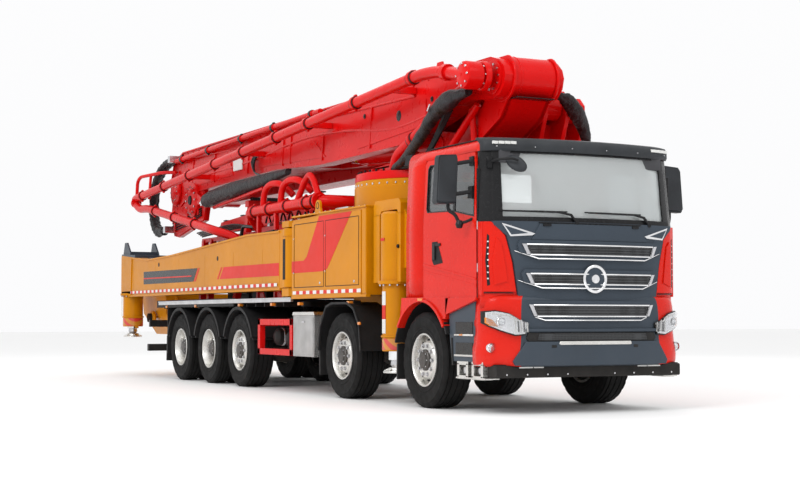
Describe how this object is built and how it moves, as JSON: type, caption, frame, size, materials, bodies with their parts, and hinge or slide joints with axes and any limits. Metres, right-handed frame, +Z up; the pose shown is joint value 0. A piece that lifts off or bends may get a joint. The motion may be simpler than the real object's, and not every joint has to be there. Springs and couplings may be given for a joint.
{
  "type": "concrete pump truck",
  "caption": "Truck-mounted concrete pump: cab, swing-out and slide-out stabiliser legs, rear hopper, and a long folding boom on a slewing turret behind the cab.",
  "frame": {"origin": "on the ground, under the centre of the bounding box", "axes": "+X forward, +Y to the left, +Z up"},
  "size_m": [14.2786, 3.24, 4],
  "materials": {
    "tyre": "black tyre on a bare rim",
    "iron": "dark axle castings",
    "frame": "satin black",
    "fender": "black moulded plastic",
    "locker": "bare and chequered aluminium",
    "yellow": "gloss yellow enamel",
    "boom_red": "gloss red enamel",
    "cab_red": "gloss red enamel",
    "glass": "lightly tinted",
    "trim": "black cab trim",
    "grille": "dark slate panel",
    "steel": "bare ground steel",
    "hose": "black sheathed hose"
  },
  "bodies": {
    "chassis": {"axle_1": "iron", "axle_2": "iron", "axle_3": "iron", "axle_4": "iron", "axle_5": "iron", "bumper": "cab_red", "cab_shell": "cab_red", "chassis_frame": "frame", "dashboard": "trim", "deck_pipes": "boom_red", "driver_seat": "trim", "engine": "iron", "front_panel": "grille", "hopper": "yellow", "left_fuel_tank": "locker", "left_side_box": "yellow", "passenger_seat": "trim", "pedestal": "yellow", "rear_deck": "fender", "right_locker": "locker", "right_side_box": "yellow", "second_axle_fenders": "fender", "steering_wheel": "trim", "windscreen": "glass"},
    "right_wheel_1": {"right_wheel_1": "tyre"},
    "right_wheel_2": {"right_wheel_2": "tyre"},
    "right_wheel_3": {"right_wheel_3": "tyre"},
    "right_wheel_4": {"right_wheel_4": "tyre"},
    "right_wheel_5": {"right_wheel_5": "tyre"},
    "right_front_knuckle": {"right_front_knuckle": "iron"},
    "right_second_knuckle": {"right_second_knuckle": "iron"},
    "right_door": {"right_door": "cab_red"},
    "right_front_outrigger": {"right_front_outrigger": "yellow"},
    "right_front_jack": {"right_front_jack": "steel"},
    "right_rear_outrigger": {"right_rear_outrigger": "yellow"},
    "right_rear_jack": {"right_rear_jack": "steel"},
    "left_wheel_1": {"left_wheel_1": "tyre"},
    "left_wheel_2": {"left_wheel_2": "tyre"},
    "left_wheel_3": {"left_wheel_3": "tyre"},
    "left_wheel_4": {"left_wheel_4": "tyre"},
    "left_wheel_5": {"left_wheel_5": "tyre"},
    "left_front_knuckle": {"left_front_knuckle": "iron"},
    "left_second_knuckle": {"left_second_knuckle": "iron"},
    "left_door": {"left_door": "cab_red"},
    "left_front_outrigger": {"left_front_outrigger": "yellow"},
    "left_front_jack": {"left_front_jack": "steel"},
    "left_rear_outrigger": {"left_rear_outrigger": "yellow"},
    "left_rear_jack": {"left_rear_jack": "steel"},
    "turret": {"turret": "boom_red"},
    "boom_1": {"boom_1": "boom_red", "boom_pipe": "boom_red", "hose_loop": "hose"},
    "boom_2": {"boom_2": "boom_red"},
    "boom_3": {"boom_3": "boom_red"},
    "boom_4": {"boom_4": "boom_red"},
    "boom_5": {"boom_5": "boom_red"},
    "lift_cylinder": {"lift_cylinder": "boom_red"},
    "lift_rod": {"lift_rod": "steel"}
  },
  "joints": [
    {"name": "right_wheel_1_spin", "type": "hinge", "parent": "right_front_knuckle", "child": "right_wheel_1", "pos_m": [5.4793, -1.05, 0.54], "axis": [0, 1, 0], "continuous": true},
    {"name": "left_wheel_1_spin", "type": "hinge", "parent": "left_front_knuckle", "child": "left_wheel_1", "pos_m": [5.4793, 1.05, 0.54], "axis": [0, 1, 0], "continuous": true},
    {"name": "right_wheel_2_spin", "type": "hinge", "parent": "right_second_knuckle", "child": "right_wheel_2", "pos_m": [3.2293, -1.05, 0.54], "axis": [0, 1, 0], "continuous": true},
    {"name": "left_wheel_2_spin", "type": "hinge", "parent": "left_second_knuckle", "child": "left_wheel_2", "pos_m": [3.2293, 1.05, 0.54], "axis": [0, 1, 0], "continuous": true},
    {"name": "right_wheel_3_spin", "type": "hinge", "parent": "chassis", "child": "right_wheel_3", "pos_m": [-0.4707, -1.05, 0.54], "axis": [0, 1, 0], "continuous": true},
    {"name": "left_wheel_3_spin", "type": "hinge", "parent": "chassis", "child": "left_wheel_3", "pos_m": [-0.4707, 1.05, 0.54], "axis": [0, 1, 0], "continuous": true},
    {"name": "right_wheel_4_spin", "type": "hinge", "parent": "chassis", "child": "right_wheel_4", "pos_m": [-1.8507, -0.925, 0.54], "axis": [0, 1, 0], "continuous": true},
    {"name": "left_wheel_4_spin", "type": "hinge", "parent": "chassis", "child": "left_wheel_4", "pos_m": [-1.8507, 0.925, 0.54], "axis": [0, 1, 0], "continuous": true},
    {"name": "right_wheel_5_spin", "type": "hinge", "parent": "chassis", "child": "right_wheel_5", "pos_m": [-3.2307, -0.925, 0.54], "axis": [0, 1, 0], "continuous": true},
    {"name": "left_wheel_5_spin", "type": "hinge", "parent": "chassis", "child": "left_wheel_5", "pos_m": [-3.2307, 0.925, 0.54], "axis": [0, 1, 0], "continuous": true},
    {"name": "right_front_steer", "type": "hinge", "parent": "chassis", "child": "right_front_knuckle", "pos_m": [5.4793, -0.82, 0.54], "axis": [0, 0, 1], "range_deg": [-35, 35]},
    {"name": "left_front_steer", "type": "hinge", "parent": "chassis", "child": "left_front_knuckle", "pos_m": [5.4793, 0.82, 0.54], "axis": [0, 0, 1], "range_deg": [-35, 35]},
    {"name": "right_second_steer", "type": "hinge", "parent": "chassis", "child": "right_second_knuckle", "pos_m": [3.2293, -0.82, 0.54], "axis": [0, 0, 1], "range_deg": [-26, 26]},
    {"name": "left_second_steer", "type": "hinge", "parent": "chassis", "child": "left_second_knuckle", "pos_m": [3.2293, 0.82, 0.54], "axis": [0, 0, 1], "range_deg": [-26, 26]},
    {"name": "right_door_hinge", "type": "hinge", "parent": "chassis", "child": "right_door", "pos_m": [6.7487, -1.245, 2], "axis": [0, 0, 1], "range_deg": [0, 75]},
    {"name": "right_front_outrigger_slide", "type": "slide", "parent": "chassis", "child": "right_front_outrigger", "axis": [0, -1, 0], "range_m": [0, 1.35]},
    {"name": "right_rear_outrigger_swing", "type": "hinge", "parent": "chassis", "child": "right_rear_outrigger", "pos_m": [1.3793, -1.09, 1.8], "axis": [0, 0, 1], "range_deg": [0, 55]},
    {"name": "right_front_jack_slide", "type": "slide", "parent": "right_front_outrigger", "child": "right_front_jack", "axis": [0, 0, -1], "range_m": [0, 0.5]},
    {"name": "right_rear_jack_slide", "type": "slide", "parent": "right_rear_outrigger", "child": "right_rear_jack", "axis": [0, 0, -1], "range_m": [0, 0.85]},
    {"name": "left_door_hinge", "type": "hinge", "parent": "chassis", "child": "left_door", "pos_m": [6.7487, 1.245, 2], "axis": [0, 0, -1], "range_deg": [0, 75]},
    {"name": "left_front_outrigger_slide", "type": "slide", "parent": "chassis", "child": "left_front_outrigger", "axis": [0, 1, 0], "range_m": [0, 1.35]},
    {"name": "left_rear_outrigger_swing", "type": "hinge", "parent": "chassis", "child": "left_rear_outrigger", "pos_m": [1.3793, 1.09, 1.8], "axis": [0, 0, -1], "range_deg": [0, 55]},
    {"name": "left_front_jack_slide", "type": "slide", "parent": "left_front_outrigger", "child": "left_front_jack", "axis": [0, 0, -1], "range_m": [0, 0.5]},
    {"name": "left_rear_jack_slide", "type": "slide", "parent": "left_rear_outrigger", "child": "left_rear_jack", "axis": [0, 0, -1], "range_m": [0, 0.85]},
    {"name": "slew", "type": "hinge", "parent": "chassis", "child": "turret", "pos_m": [3.2293, 0, 2.76], "axis": [0, 0, 1], "range_deg": [-180, 180]},
    {"name": "boom_1_lift", "type": "hinge", "parent": "turret", "child": "boom_1", "pos_m": [5.8593, 0, 3.75], "axis": [0, 1, 0], "range_deg": [0, 89]},
    {"name": "boom_2_fold", "type": "hinge", "parent": "boom_1", "child": "boom_2", "pos_m": [-5.6707, 0, 3.3], "axis": [0, -1, 0], "range_deg": [0, 180]},
    {"name": "boom_3_fold", "type": "hinge", "parent": "boom_2", "child": "boom_3", "pos_m": [5.3793, 0, 3.52], "axis": [0, 1, 0], "range_deg": [0, 180]},
    {"name": "boom_4_fold", "type": "hinge", "parent": "boom_3", "child": "boom_4", "pos_m": [-4.9207, 0, 3.72], "axis": [0, -1, 0], "range_deg": [0, 180]},
    {"name": "boom_5_fold", "type": "hinge", "parent": "boom_4", "child": "boom_5", "pos_m": [5.1793, 0, 3.5], "axis": [0, 1, 0], "range_deg": [0, 180]},
    {"name": "lift_cylinder_pin", "type": "hinge", "parent": "turret", "child": "lift_cylinder", "pos_m": [4.3293, -0.11, 3.14], "axis": [0, 1, 0], "range_deg": [0, 99]},
    {"name": "lift_rod_slide", "type": "slide", "parent": "lift_cylinder", "child": "lift_rod", "axis": [-0.9986, 0, 0.0524], "range_m": [0, 2.25]}
  ],
  "couplings": [
    {"joint": "left_front_steer", "follows": "right_front_steer", "ratio": 1},
    {"joint": "right_second_steer", "follows": "right_front_steer", "ratio": 0.74},
    {"joint": "left_second_steer", "follows": "right_front_steer", "ratio": 0.74},
    {"joint": "lift_cylinder_pin", "follows": "boom_1_lift", "ratio": 1.1},
    {"joint": "lift_rod_slide", "follows": "boom_1_lift", "m_per_rad": 1.4324}
  ]
}
